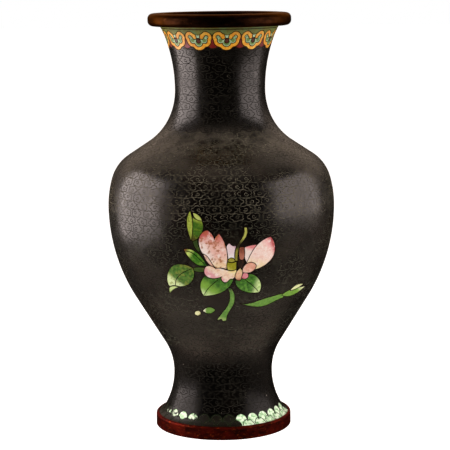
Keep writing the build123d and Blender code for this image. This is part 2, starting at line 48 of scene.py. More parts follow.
# --- shader maths ---
@dataclass(frozen=True)
class Val:
    """A number socket in Python arithmetic; each operator adds one Math node."""

    tree: "NodeTree"
    socket: object

    def _math(self, operation: str, *others: "Val | float", swap: bool = False) -> "Val":
        """Add a Math node.

        Args:
            operation: the node's operation.
            others: the second and third inputs.
            swap: put this value last.

        Returns:
            The node's result.
        """
        inputs = [self, *others]
        if swap:
            inputs.reverse()
        return self.tree.math(operation, *inputs)

    def __add__(self, other: "Val | float") -> "Val":
        """Add."""
        return self._math("ADD", other)

    __radd__ = __add__

    def __sub__(self, other: "Val | float") -> "Val":
        """Subtract."""
        return self._math("SUBTRACT", other)

    def __rsub__(self, other: "Val | float") -> "Val":
        """Subtract from a number."""
        return self._math("SUBTRACT", other, swap=True)

    def __mul__(self, other: "Val | float") -> "Val":
        """Multiply."""
        return self._math("MULTIPLY", other)

    __rmul__ = __mul__

    def __truediv__(self, other: "Val | float") -> "Val":
        """Divide."""
        return self._math("DIVIDE", other)

    def abs(self) -> "Val":
        """Size without sign."""
        return self._math("ABSOLUTE")

    def sqrt(self) -> "Val":
        """Square root."""
        return self._math("SQRT")

    def max(self, other: "Val | float") -> "Val":
        """Larger of two."""
        return self._math("MAXIMUM", other)

    def step(self, low: float, high: float) -> "Val":
        """Rise smoothly from 0 at low to 1 at high.

        Args:
            low: where the rise starts.
            high: where it ends; below low the rise is turned round.

        Returns:
            A value from 0 to 1.
        """
        return self.tree.add(
            "ShaderNodeMapRange",
            {"interpolation_type": "SMOOTHSTEP"},
            {"Value": self, "From Min": low, "From Max": high},
        ).value()


@dataclass
class Node:
    """A shader node, with its outputs by name."""

    tree: "NodeTree"
    node: object

    def value(self, name: str | int = 0) -> Val:
        """One output as a number."""
        return Val(self.tree, self.node.outputs[name])

    def link(self, name: str | int = 0) -> object:
        """One output as a plain socket, for colours and vectors."""
        return self.node.outputs[name]


class NodeTree:
    """The nodes of one material or surround."""

    def __init__(self, owner: object, output: str, coords: str) -> None:
        """Start with an empty tree.

        Args:
            owner: the material or world that holds the nodes.
            output: the output node's type.
            coords: which of the texture coordinates patterns follow.
        """
        self.owner = owner
        owner.use_nodes = True
        self.tree = owner.node_tree
        self.tree.nodes.clear()
        self.output = self.add(output)
        self.coords = self.add("ShaderNodeTexCoord").link(coords)

    @classmethod
    def finish(cls, name: str) -> "NodeTree":
        """Start a new material's tree."""
        return cls(bpy.data.materials.new(name), "ShaderNodeOutputMaterial", "Object")

    def add(self, kind: str, settings: dict | None = None, inputs: dict | None = None) -> Node:
        """Add any node.

        Args:
            kind: the node's type.
            settings: attributes to set first.
            inputs: values or links by socket name or number.

        Returns:
            The new node.
        """
        node = self.tree.nodes.new(kind)
        for key, value in (settings or {}).items():
            setattr(node, key, value)
        for key, value in (inputs or {}).items():
            socket = node.inputs[key]
            if isinstance(value, Val):
                self.tree.links.new(value.socket, socket)
            elif isinstance(value, bpy.types.NodeSocket):
                self.tree.links.new(value, socket)
            elif socket.type == "RGBA" and len(value) == 3:
                socket.default_value = (*value, 1.0)
            else:
                socket.default_value = value
        return Node(self, node)

    def math(self, operation: str, *values: Val | float) -> Val:
        """Add a Math node with its inputs in order."""
        return self.add("ShaderNodeMath", {"operation": operation}, dict(enumerate(values))).value()

    def mix(self, factor: Val | float, first: object, second: object, blend: str = "MIX") -> object:
        """Mix two colours.

        Args:
            factor: 0 gives the first, 1 the second.
            first: a colour or a colour socket.
            second: a colour or a colour socket.
            blend: how they combine.

        Returns:
            The mixed colour's socket.
        """
        settings = {"data_type": "RGBA", "blend_type": blend}
        return self.add("ShaderNodeMix", settings, {0: factor, 6: first, 7: second}).link(2)

    def noise(self, size: float, detail: float = 3, stretch: Colour = (1, 1, 1), rough: float = 0.55) -> Val:
        """Cloudy noise on object coordinates.

        Args:
            size: the width of one blotch, in millimetres.
            detail: how many finer layers it has.
            stretch: how much longer a blotch is along each axis.
            rough: strength of the finer layers.

        Returns:
            A value near 0.5, from 0 to 1.
        """
        scale = tuple(1.0 / k for k in stretch)
        where = self.add("ShaderNodeMapping", None, {"Vector": self.coords, "Scale": scale}).link()
        inputs = {"Vector": where, "Scale": 1 / (size * MM), "Detail": detail, "Roughness": rough}
        return self.add("ShaderNodeTexNoise", None, inputs).value("Fac")

    def spots(self, size: float) -> Val:
        """Distance to the nearest of points about size millimetres apart, in units of that spacing."""
        inputs = {"Vector": self.coords, "Scale": 1 / (size * MM)}
        return self.add("ShaderNodeTexVoronoi", None, inputs).value("Distance")

    def axes(self) -> tuple[Val, Val, Val]:
        """The object coordinates x, y and z, in metres."""
        parts = self.add("ShaderNodeSeparateXYZ", None, {"Vector": self.coords})
        return parts.value("X"), parts.value("Y"), parts.value("Z")

    def angle(self) -> Val:
        """Turn about Z from the front, towards +X, in degrees."""
        x, y, _ = self.axes()
        return self.math("ARCTAN2", x, 0 - y) * (360 / TURN)

    def bump(self, height: Val, distance: float, strength: float, after: object | None = None) -> object:
        """A bumped normal.

        Args:
            height: the relief, from 0 to 1.
            distance: the relief's depth in millimetres.
            strength: how much of it shows.
            after: a bumped normal that this one adds to.

        Returns:
            The normal's socket.
        """
        inputs: dict = {"Height": height, "Distance": distance * MM, "Strength": strength}
        if after is not None:
            inputs["Normal"] = after
        return self.add("ShaderNodeBump", None, inputs).link()

    def surface(self, inputs: dict) -> object:
        """Join a Principled shader with these inputs and return the material."""
        shader = self.add("ShaderNodeBsdfPrincipled", None, inputs)
        return self.show(shader.link())

    def glass(self, colour: object, rough: Val, normal: object, gloss: float = 0.5) -> object:
        """Join the shader of fired enamel and return the material.

        Args:
            colour: its colour.
            rough: its roughness.
            normal: its bumped normal.
            gloss: how strongly it mirrors; 0.5 is clean glass.

        Returns:
            The material.
        """
        inputs = {"Base Color": colour, "Roughness": rough, "Normal": normal}
        return self.surface({**inputs, "Specular IOR Level": gloss, "IOR": 1.54})

    def show(self, shader: object) -> object:
        """Join a shader to the output and return the material or world."""
        self.tree.links.new(shader, self.output.node.inputs["Surface"])
        return self.owner


# --- finishes ---
@dataclass(frozen=True)
class GroundEnamel:
    """Polished black enamel: jet on the neck and foot as painted shade, browned on the belly, and lighter on
    the shoulder, partly dirt and partly painted reflection.
    """

    name: str = "ground_enamel"
    gloss: float = 0.5
    # Lower shine of the coat towards the foot.
    foot_gloss: float = 0.18
    # Painted shade: the colour the ground darkens to at the foot and the neck.
    jet: Colour = (0.0003, 0.0003, 0.0002)
    dark: Colour = (0.001, 0.0008, 0.0007)
    brown: Colour = (0.01, 0.0062, 0.004)
    # Colour of the specks and of the shoulder band, which is partly dirt and partly painted reflection.
    dust_and_sheen_colour: Colour = (0.2, 0.17, 0.13)
    dust_and_sheen_amount: float = 0.16
    foot_fade: Span = (66.0, 42.0)
    neck_fade: Span = (214.0, 228.0)
    dust_and_sheen_rise: Span = (204.0, 214.0)
    dust_and_sheen_fall: Span = (228.0, 216.0)

    def make(self) -> object:
        """Build the material.

        Brown clouds fade to jet towards the foot and the neck, which is painted shade, and the shine drops
        towards the foot: two coats of the same colour, one less shiny, are mixed by height. A lighter band
        round the shoulder is partly dirt and partly painted reflection of the light from above.

        Returns:
            The material.
        """
        t = NodeTree.finish(self.name)
        height = t.axes()[2] / MM
        foot = height.step(*self.foot_fade)
        clouds = t.noise(34, 4).step(0.4, 0.66)
        fine = t.noise(3.2, 3).step(0.45, 0.7)
        colour = t.mix(clouds * 0.75 + fine * 0.25, self.dark, self.brown)
        # Painted shade: the ground turns jet towards the foot, under the belly, and towards the neck.
        colour = t.mix(foot.max(height.step(*self.neck_fade)) * 0.85, colour, self.jet)
        # Partly dirt and partly painted reflection: a lighter band round the shoulder, where the light from
        # above is mirrored.
        shoulder_dust_and_sheen = height.step(*self.dust_and_sheen_rise) * height.step(*self.dust_and_sheen_fall)
        shoulder_dust_and_sheen = shoulder_dust_and_sheen * t.noise(7, 4).step(0.38, 0.62)
        colour = t.mix(shoulder_dust_and_sheen * self.dust_and_sheen_amount, colour, self.dust_and_sheen_colour)
        specks = (1 - t.spots(5.2).step(0.03, 0.1)) * t.noise(9, 1).step(0.56, 0.62)
        colour = t.mix(specks, colour, self.dust_and_sheen_colour)
        wear = t.noise(22, 5, rough=0.65).step(0.35, 0.75)
        peel = t.bump(t.noise(4.5, 2), 0.09, 0.6)
        inputs = {
            "Base Color": colour,
            "Roughness": 0.23 + wear * 0.13 + specks * 0.2,
            "Normal": t.bump(t.spots(1.9).step(0.02, 0.22), 0.05, 0.5, peel),
            "IOR": 1.56,
        }
        coats = [
            t.add("ShaderNodeBsdfPrincipled", None, {**inputs, "Specular IOR Level": level}).link()
            for level in (self.gloss, self.foot_gloss)
        ]
        return t.show(t.add("ShaderNodeMixShader", None, {0: foot, 1: coats[0], 2: coats[1]}).link())


@dataclass(frozen=True)
class CellEnamel:
    """One coloured enamel cell: a body colour, shades that fade in along lines, and blotches.

    A shade is its colour and where its line starts and ends, in front-view millimetres.
    """

    name: str
    body: Colour
    shades: tuple[tuple[Colour, Span, Span], ...] = ()
    blotch: Colour | None = None
    blotch_size: float = 2.2
    blotch_amount: float = 0.6
    mottle: float = 0.55
    pale: Colour | None = None
    gloss: float = 0.5
    grain: Colour = (0.42, 0.34, 0.26)
    pit: Colour = (0.05, 0.028, 0.015)

    def make(self) -> object:
        """Build the material: mottled opaque glass with packed grains and small pits.

        Returns:
            The material.
        """
        t = NodeTree.finish(self.name)
        x, _, z = t.axes()
        ragged = (t.noise(2.6, 4) - 0.5) * 1.3
        deep = tuple(channel ** 1.7 for channel in self.body)
        mottle = t.noise(1.9, 4, rough=0.65).step(0.36, 0.68) * self.mottle
        colour: object = t.mix(mottle, self.body, deep)
        for shade, start, end in self.shades:
            run = (end[0] - start[0], end[1] - start[1])
            square = run[0] ** 2 + run[1] ** 2
            along = ((x / MM - start[0]) * run[0] + (z / MM - start[1]) * run[1]) / square
            colour = t.mix((along + ragged * 0.5).step(0.0, 1.0), colour, shade)
        if self.pale is not None:
            cloud = t.noise(3.6, 3, rough=0.6).step(0.5, 0.66)
            colour = t.mix(cloud * 0.75, colour, self.pale)
        if self.blotch is not None:
            patches = t.noise(self.blotch_size, 3, rough=0.6).step(0.5, 0.64)
            colour = t.mix(patches * self.blotch_amount, colour, self.blotch)
        grains = t.noise(0.5, 2).step(0.3, 0.75)
        colour = t.mix(0.12 + grains * 0.25, colour, self.grain, "MULTIPLY")
        pits = (1 - t.spots(0.95).step(0.04, 0.17)) * t.noise(3.2, 2).step(0.46, 0.58)
        colour = t.mix(pits * 0.75, colour, self.pit)
        normal = t.bump(t.noise(1.4, 3), 0.05, 0.7)
        normal = t.bump(1 - pits, 0.06, 0.7, normal)
        return t.glass(colour, 0.22 + t.noise(3, 3) * 0.22, normal, self.gloss)


@dataclass(frozen=True)
class FieldEnamel:
    """Green enamel inside a ruyi head, pale turquoise towards the border of its discs."""

    name: str
    centre: Colour
    edge: Colour
    heads: "RuyiHeads"
    deep: Colour = (0.12, 0.2, 0.04)
    grain: Colour = (0.5, 0.5, 0.4)

    def make(self) -> object:
        """Build the material.

        The head's own (u, z) comes from the angle round the axis, taken modulo the heads' pitch. The
        pale edge is where the distance to the union of the inner discs is near zero.

        Returns:
            The material.
        """
        t = NodeTree.finish(self.name)
        x, y, z = t.axes()
        heads = self.heads
        turned = t.math("FLOORED_MODULO", t.angle() - heads.phase + heads.pitch / 2, heads.pitch)
        local = (turned - heads.pitch / 2) * (TURN / 360)
        radius = (x * x + y * y).sqrt() / MM
        across = t.math("SINE", local) * radius
        height = z / MM
        depth: Val | None = None
        for spacing, level, size in heads.discs:
            u = across.abs() - spacing
            v = height - level
            inside = (size - heads.band) - (u * u + v * v).sqrt()
            depth = inside if depth is None else depth.max(inside)
        ragged = (t.noise(1.3, 3) - 0.5) * 1.2
        centre = t.mix(t.noise(1.7, 3).step(0.35, 0.7), self.centre, self.deep)
        colour = t.mix((depth + ragged).step(0.3, 1.5), self.edge, centre)
        grains = t.noise(0.5, 2).step(0.3, 0.75)
        colour = t.mix(grains * 0.2, colour, self.grain, "MULTIPLY")
        normal = t.bump(t.noise(1.4, 3), 0.05, 0.7)
        return t.glass(colour, 0.24 + t.noise(3, 3) * 0.2, normal)


@dataclass(frozen=True)
class ScaleEnamel:
    """Pale green scales, bright in some stretches and lost under dark grime in others."""

    name: str
    phase: float
    pitch: float = 12.0
    bright: Colour = (0.5, 0.72, 0.44)
    deep: Colour = (0.14, 0.36, 0.14)
    pale: Colour = (0.78, 0.92, 0.7)
    grime: Colour = (0.005, 0.004, 0.0025)
    fleck: Colour = (0.2, 0.24, 0.1)
    low_dark_heights: Span = (12.4, 11.0)
    gloss: float = 0.22
    stretches: tuple[tuple[float, float, float], ...] = (
        (48.0, 36.0, 1.0), (-43.0, 3.0, 0.95), (-55.0, 3.0, 0.42), (-31.0, 3.0, 0.38),
        (-67.0, 3.0, 0.3), (150.0, 20.0, 0.9), (-120.0, 24.0, 0.6),
    )

    def make(self) -> object:
        """Build the material.

        Each clean stretch is a middle, a half-width and a strength, in degrees round the axis, read at the
        middle of the scale that a point is on; noise chips the scales' rims, and low down on the left the
        scales are darker.

        Returns:
            The material.
        """
        t = NodeTree.finish(self.name)
        angle = t.angle()
        middle_of_scale = t.math("ROUND", (angle - self.phase) / self.pitch) * self.pitch + self.phase
        clean: Val | None = None
        for middle, half, strength in self.stretches:
            near = t.math("LESS_THAN", (middle_of_scale - middle).abs(), half) * strength
            clean = near if clean is None else clean.max(near)
        # Darker low down on the left.
        low_left_dark = (t.axes()[2] / MM).step(*self.low_dark_heights) * angle.step(0.0, -10.0)
        broken = (t.noise(3.2, 3) - 0.5) * 1.1
        dirty = (clean + broken - low_left_dark).step(0.52, 0.3)
        mottle = t.noise(1.5, 4).step(0.35, 0.68)
        colour = t.mix(mottle, self.bright, self.deep)
        colour = t.mix(t.noise(2.6, 2).step(0.42, 0.58) * 0.9, colour, self.pale)
        specks = t.noise(0.9, 2).step(0.64, 0.72) * 0.3
        colour = t.mix(dirty, colour, t.mix(specks, self.grime, self.fleck))
        normal = t.bump(t.noise(1.4, 3), 0.06, 0.8)
        return t.glass(colour, 0.24 + dirty * 0.12, normal, self.gloss)


@dataclass(frozen=True)
class Patina:
    """Patinated copper: a dark skin over red-brown metal, with lighter streaks that are painted glints."""

    name: str
    dark: Colour
    warm: Colour
    # Colour of the painted glints.
    glint: Colour
    rough: float
    metal: float
    streak: float
    edge: Colour = (1.0, 1.0, 1.0)

    def make(self) -> object:
        """Build the material: long mottles round the ring, glints, and hammer marks.

        Returns:
            The material.
        """
        t = NodeTree.finish(self.name)
        long = (1.0, 1.0, 0.45)
        clouds = t.noise(11, 5, long, 0.62).step(0.36, 0.66)
        colour = t.mix(clouds, self.dark, self.warm)
        # Painted highlight: long streaks of the glint colour stand in for glints on the metal.
        painted_glints = t.noise(3.4, 4, long, 0.7).step(0.56, 0.7) * self.streak
        colour = t.mix(painted_glints, colour, self.glint)
        stains = t.noise(1.3, 4).step(0.52, 0.72)
        colour = t.mix(stains * 0.45, colour, self.dark)
        scratches = t.noise(1.1, 3, (1, 1, 0.12))
        normal = t.bump(t.noise(6, 3), 0.16, 0.6)
        normal = t.bump(scratches, 0.02, 0.6, normal)
        return t.surface({
            "Base Color": colour,
            "Metallic": self.metal - stains * 0.1,
            "Specular Tint": self.edge,
            "Roughness": self.rough + t.noise(5, 4) * 0.22,
            "Normal": normal,
        })


@dataclass(frozen=True)
class WireMetal:
    """Dull oxidised copper of the cell wires, rubbed bright here and there."""

    name: str
    dull: Colour
    bright: Colour

    def make(self) -> object:
        """Build the material: brown oxide with rubbed patches.

        Returns:
            The material.
        """
        t = NodeTree.finish(self.name)
        rubbed = t.noise(26, 4, rough=0.6).step(0.28, 0.66) * t.noise(2.2, 3).step(0.25, 0.7)
        return t.surface({
            "Base Color": t.mix(rubbed, self.dull, self.bright),
            "Specular IOR Level": 0.07,
            "Roughness": 0.5 + t.noise(4, 3) * 0.25,
            "Normal": t.bump(t.noise(0.8, 2), 0.03, 0.6),
        })


@dataclass(frozen=True)
class LiningEnamel:
    """Turquoise counter-enamel with dark pinholes, inside the vase and under its base."""

    name: str = "lining_enamel"
    body: Colour = (0.03, 0.19, 0.2)
    pale: Colour = (0.1, 0.36, 0.34)
    hole: Colour = (0.02, 0.025, 0.025)

    def make(self) -> object:
        """Build the material: clouded glass with pinholes and an uneven surface.

        Returns:
            The material.
        """
        t = NodeTree.finish(self.name)
        colour = t.mix(t.noise(9, 5).step(0.35, 0.68), self.body, self.pale)
        holes = (1 - t.spots(2.8).step(0.05, 0.16)) * t.noise(12, 1).step(0.42, 0.55)
        colour = t.mix(holes, colour, self.hole)
        normal = t.bump(t.noise(3, 3), 0.15, 0.7)
        normal = t.bump(1 - holes, 0.1, 0.7, normal)
        return t.glass(colour, 0.24 + t.noise(6, 3) * 0.25, normal)


# --- the wall ---
class Wall:
    """The vase's outer surface: a chain of tangent bends turned about Z.

    A bend is its radius and its turn in degrees, or the length of a straight run and 0.
    """

    START = (48.3, 9.2)
    HEADING = 155.0
    BENDS: tuple[Span, ...] = (
        (9.5, -34.0), (54.0, -31.0), (44.5, -31.5), (40.0, 0.0), (128.5, 31.5), (73.0, 16.5),
        (29.0, 40.0), (18.5, 0.0), (43.5, -38.5), (49.5, -18.0), (111.0, -19.0), (55.0, -11.0),
    )
    STEP = 0.25

    def __init__(self) -> None:
        """Walk the chain: heading is the integral of curvature over arc length, place of heading."""
        lengths = []
        curvatures = []
        for size, turn in self.BENDS:
            length = size if turn == 0 else size * math.radians(abs(turn))
            count = max(2, round(length / self.STEP))
            lengths.append(np.full(count, length / count))
            curvatures.append(np.full(count, math.radians(turn) / count))
        step = np.concatenate(lengths)
        turned = np.concatenate(curvatures)
        heading = math.radians(self.HEADING) + np.concatenate(([0.0], np.cumsum(turned)))
        middle = (heading[1:] + heading[:-1]) / 2
        self.along = np.concatenate(([0.0], np.cumsum(step)))
        self.radii = self.START[0] + np.concatenate(([0.0], np.cumsum(step * np.cos(middle))))
        self.heights = self.START[1] + np.concatenate(([0.0], np.cumsum(step * np.sin(middle))))
        self.headings = heading

    def place(self, angle: np.ndarray, along: np.ndarray, lift: float = 0.0) -> tuple[np.ndarray, np.ndarray]:
        """Points and outward normals on the wall.

        Args:
            angle: turn about Z from the front, towards +X, in radians.
            along: arc length up the wall from the foot, in millimetres.
            lift: height above the wall, in millimetres.

        Returns:
            Points and unit normals, each with a last axis of 3, in millimetres.
        """
        radius = np.interp(along, self.along, self.radii)
        height = np.interp(along, self.along, self.heights)
        heading = np.interp(along, self.along, self.headings)
        outward = np.sin(heading)
        normal = np.stack((outward * np.sin(angle), -outward * np.cos(angle), -np.cos(heading)), -1)
        point = np.stack((radius * np.sin(angle), -radius * np.cos(angle), height), -1)
        return point + lift * normal, normal

    def along_at(self, height: np.ndarray | float) -> np.ndarray:
        """Arc length at a height."""
        return np.interp(height, self.heights, self.along)

    def radius_at(self, height: np.ndarray | float) -> np.ndarray:
        """Radius at a height."""
        return np.interp(height, self.heights, self.radii)


@dataclass
class Strips:
    """Flat-topped wires swept along many equal-length paths, joined into one mesh.

    The section is a triangle, flat side up: as wide as width, lift above the wall, and with its lower
    edge sink below the wall, in millimetres.
    """

    width: float
    lift: float
    sink: float
    points: list[np.ndarray] = field(default_factory=list)
    faces: list[tuple[np.ndarray, np.ndarray]] = field(default_factory=list)
    count: int = 0

    def sweep(self, path: np.ndarray, normal: np.ndarray) -> None:
        """Sweep the section along each path.

        The side direction is the cross product of normal and travel. Corners are path + side * w/2
        + normal * lift, path - side * w/2 + normal * lift, and path - normal * sink.

        Args:
            path: points, shaped (paths, stations, 3).
            normal: unit normals of the same shape.
        """
        travel = np.gradient(path, axis=1)
        side = np.cross(normal, travel)
        side /= np.linalg.norm(side, axis=-1, keepdims=True) + 1e-12
        half = side * (self.width / 2)
        ring = np.stack((path - half + normal * self.lift, path + half + normal * self.lift,
                         path - normal * self.sink), 2)
        lines, stations = path.shape[:2]
        index = np.arange(lines * stations * 3).reshape(lines, stations, 3) + self.count
        here = index[:, :-1]
        after = index[:, 1:]
        beside = (1, 2, 0)
        quads = np.stack((here, after, after[..., beside], here[..., beside]), -1).reshape(-1, 4)
        self.points.append(ring.reshape(-1, 3))
        self.faces.append((quads, np.concatenate((index[:, 0], index[:, -1, ::-1]))))
        self.count += lines * stations * 3

    def mesh(self, name: str) -> object:
        """Make the object from every path swept so far.

        Args:
            name: the piece's name.

        Returns:
            The new object, linked to the scene.
        """
        quads, caps = (np.concatenate(faces) for faces in zip(*self.faces))
        return make_mesh(name, np.concatenate(self.points) * MM, (quads, caps))


def make_mesh(name: str, points: np.ndarray, groups: tuple[np.ndarray, ...]) -> object:
    """Make a flat-shaded mesh object from whole arrays.

    Args:
        name: the object's name.
        points: vertices in metres, shaped (n, 3).
        groups: face arrays, one per number of corners.

    Returns:
        The new object, linked to the scene.
    """
    mesh = bpy.data.meshes.new(name)
    corners = np.concatenate([g.reshape(-1) for g in groups]).astype(np.int32)
    totals = np.concatenate([np.full(len(g), g.shape[1]) for g in groups]).astype(np.int32)
    mesh.vertices.add(len(points))
    mesh.loops.add(len(corners))
    mesh.polygons.add(len(totals))
    mesh.vertices.foreach_set("co", points.astype(np.float32).reshape(-1))
    mesh.loops.foreach_set("vertex_index", corners)
    starts = np.concatenate(([0], np.cumsum(totals)[:-1])).astype(np.int32)
    mesh.polygons.foreach_set("loop_start", starts)
    mesh.polygons.foreach_set("loop_total", totals)
    mesh.polygons.foreach_set("use_smooth", np.zeros(len(totals), bool))
    mesh.update(calc_edges=True)
    mesh.validate()
    made = bpy.data.objects.new(name, mesh)
    bpy.context.scene.collection.objects.link(made)
    return made


def settle(piece: object, material: object) -> None:
    """Dress a new piece, ride it on the body and report it.

    Args:
        piece: the new object.
        material: its finish.
    """
    piece.data.materials.clear()
    piece.data.materials.append(material)
    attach(piece, "root")
    LOG.info("%s: %d faces", piece.name, len(piece.data.polygons))


# --- collar and foot designs ---
@dataclass(frozen=True)
class RuyiHeads:
    """Twelve ruyi heads round the collar; each outline is a union of discs, in millimetres."""

    count: int = 12
    phase: float = 7.5
    band: float = 2.1
    wire: float = 0.5
    discs: tuple[tuple[float, float, float], ...] = ((6.3, 289.3, 3.6), (4.4, 286.9, 4.6), (0.0, 285.4, 5.4))
    notch: Span = (292.9, 2.7)
    throat: float = 1.3
    hook: tuple[float, float, float] = (2.7, 289.0, 1.25)
    eye: Span = (286.4, 1.3)
    gap: Span = (285.9, 4.6)
    gap_top: float = 290.2
    gap_neck: float = 1.6

    @property
    def pitch(self) -> float:
        """Degrees from one head to the next."""
        return 360 / self.count

    def head_field(self, u: np.ndarray, z: np.ndarray, grow: float) -> np.ndarray:
        """Signed distance to a head's outline grown by a distance: negative inside.

        Args:
            u: distance sideways from the middle, in millimetres.
            z: height, in millimetres.
            grow: how far the outline is moved outwards.

        Returns:
            The distances, in millimetres.
        """
        reach = np.full(u.shape, 1e3)
        for spacing, level, size in self.discs:
            reach = np.minimum(reach, np.hypot(np.abs(u) - spacing, z - level) - size - grow)
        level, size = self.notch
        return np.maximum(reach, size - grow - np.hypot(u, z - level))

    def gap_field(self, u: np.ndarray, z: np.ndarray, grow: float) -> np.ndarray:
        """Signed distance to the outline of the cell between heads, grown by a distance.

        Args:
            u: distance sideways from the middle, in millimetres.
            z: height, in millimetres.
            grow: how far the outline is moved outwards.

        Returns:
            The distances, in millimetres.
        """
        level, size = self.gap
        disc = np.hypot(u, z - level) - size - grow
        bar = np.maximum(np.abs(u) - self.gap_neck - grow, np.abs(z - (level + self.gap_top) / 2)
                         - (self.gap_top - level) / 2 - grow)
        return np.minimum(disc, bar)

    def covers(self, angle: np.ndarray, height: np.ndarray, radius: np.ndarray, margin: float) -> np.ndarray:
        """Whether points on the wall lie on a head or a gap cell, with a margin.

        Args:
            angle: turn about Z from the front, in radians.
            height: the points' heights, in millimetres.
            radius: the wall's radius there.
            margin: how far outside an outline still counts.

        Returns:
            True where a point is covered.
        """
        pitch = math.radians(self.pitch)
        head = np.mod(angle - math.radians(self.phase) + pitch / 2, pitch) - pitch / 2
        gap = np.mod(angle - math.radians(self.phase), pitch) - pitch / 2
        on_head = self.head_field(radius * np.sin(head), height, margin) < 0
        on_gap = self.gap_field(radius * np.sin(gap), height, margin) < 0
        return on_head | on_gap


def arc(centre: Span, radius: float, start: float, end: float, count: int) -> np.ndarray:
    """Points on a circle arc: centre + radius * (cos, sin) from start to end, in degrees."""
    angle = np.radians(np.linspace(start, end, count))
    return np.stack((centre[0] + radius * np.cos(angle), centre[1] + radius * np.sin(angle)), -1)


def evenly(points: np.ndarray, count: int) -> np.ndarray:
    """Resample a path to evenly spaced stations by linear interpolation on its length.

    Args:
        points: the path, shaped (n, 2).
        count: how many stations.

    Returns:
        The stations.
    """
    step = np.hypot(*np.diff(points, axis=0).T)
    along = np.concatenate(([0.0], np.cumsum(step)))
    target = np.linspace(0, along[-1], count)
    return np.stack((np.interp(target, along, points[:, 0]), np.interp(target, along, points[:, 1])), -1)


def contour(field: Callable, box: tuple[float, float, float, float], step: float = 0.16) -> list[np.ndarray]:
    """Trace the zero line of a field on a grid, as closed paths.

    Args:
        field: takes arrays u and z and gives the signed distance.
        box: low u, high u, low z and high z.
        step: the grid's spacing.

    Returns:
        Paths of shape (n, 2), each joined from the grid's crossing edges.
    """
    u = np.arange(box[0], box[1], step)
    z = np.arange(box[2], box[3], step)
    grid_u, grid_z = np.meshgrid(u, z, indexing="ij")
    value = field(grid_u, grid_z)
    inside = value < 0
    links: dict[tuple, list[tuple]] = {}
    mixed = inside[:-1, :-1].astype(int) + inside[1:, :-1] + inside[1:, 1:] + inside[:-1, 1:]
    squares = np.argwhere((mixed > 0) & (mixed < 4))
    for i, j in squares:
        corners = ((i, j), (i + 1, j), (i + 1, j + 1), (i, j + 1))
        sides = zip(corners, corners[1:] + corners[:1])
        cut = [(min(a, b), max(a, b)) for a, b in sides if inside[a] != inside[b]]
        for a, b in zip(cut[::2], cut[1::2]):
            links.setdefault(a, []).append(b)
            links.setdefault(b, []).append(a)
    paths = []
    while links:
        here = next(iter(links))
        chain = [here]
        while links[here]:
            after = links[here].pop()
            links[after].remove(here)
            chain.append(after)
            here = after
        links = {key: others for key, others in links.items() if others}
        spots = []
        for (i0, j0), (i1, j1) in chain:
            share = value[i0, j0] / (value[i0, j0] - value[i1, j1])
            spots.append((u[i0] + share * (u[i1] - u[i0]), z[j0] + share * (z[j1] - z[j0])))
        if len(spots) > 6:
            paths.append(np.array(spots))
    return paths


@dataclass
class CollarWires:
    """Wires round the ruyi heads, their fields, eyes and the red cells between them."""

    wall: Wall
    heads: RuyiHeads
    metal: object
    width: float = 0.62
    lift: float = 0.07
    sink: float = 0.5
    stations: int = 90
    ring_height: float = 294.6
    box: tuple[float, float, float, float] = (-11.5, 11.5, 278.0, 295.4)

    def wrap(self, strips: Strips, path: np.ndarray, phase: float) -> None:
        """Repeat a front-view path round the collar.

        A front point (u, z) lies at angle asin(u / radius at z) from its head's own centre.

        Args:
            strips: the wires being made.
            path: points (u, z).
            phase: the first copy's angle in degrees.
        """
        heads = self.heads
        angle = np.arcsin(path[:, 0] / self.wall.radius_at(path[:, 1]))
        turns = np.radians(phase + np.arange(heads.count) * heads.pitch)
        along = np.broadcast_to(self.wall.along_at(path[:, 1]), (heads.count, len(path)))
        strips.sweep(*self.wall.place(angle[None, :] + turns[:, None], along))

    def build(self) -> None:
        """Make the collar's wires from the outlines' half-way lines."""
        heads = self.heads
        half = heads.wire / 2

        def border(u: np.ndarray, z: np.ndarray) -> np.ndarray:
            """Signed distance to the yellow border's half-way line.

            Args:
                u: distance sideways from the middle, in millimetres.
                z: height, in millimetres.

            Returns:
                The distances.
            """
            inner = heads.head_field(u, z, -heads.band)
            opening = np.maximum(np.abs(u) - heads.throat - heads.wire,
                                 np.abs(z - heads.notch[0] + heads.notch[1]) - heads.band)
            shape = np.maximum(heads.head_field(u, z, 0), -inner)
            shape = np.maximum(shape, -opening)
            spacing, level, size = heads.hook
            hooks = np.hypot(np.abs(u) - spacing, z - level) - size
            return np.minimum(shape, hooks) - half

        def gap(u: np.ndarray, z: np.ndarray) -> np.ndarray:
            """Signed distance to the red cell's half-way line, open where the heads cut it.

            Args:
                u: distance sideways from the middle, in millimetres.
                z: height, in millimetres.

            Returns:
                The distances.
            """
            pitch = math.radians(heads.pitch)
            radius = self.wall.radius_at(z)
            turn = np.arcsin(np.clip(u / radius, -1, 1))
            shape = heads.gap_field(u, z, half)
            for side in (-1, 1):
                beside = radius * np.sin(turn - side * pitch / 2)
                shape = np.maximum(shape, -heads.head_field(beside, z, half))
            return shape

        strips = Strips(self.width, self.lift, self.sink)
        for path in contour(border, self.box):
            self.wrap(strips, evenly(path, self.stations), heads.phase)
        eye = arc((0, heads.eye[0]), heads.eye[1] + half, 0, 360, 25)
        self.wrap(strips, eye, heads.phase)
        for path in contour(gap, self.box):
            self.wrap(strips, evenly(path, self.stations), heads.phase + heads.pitch / 2)
        angle = np.linspace(0, TURN, 145)[None, :]
        strips.sweep(*self.wall.place(angle, np.full_like(angle, self.wall.along_at(self.ring_height))))
        settle(strips.mesh("collar_wires"), self.metal)


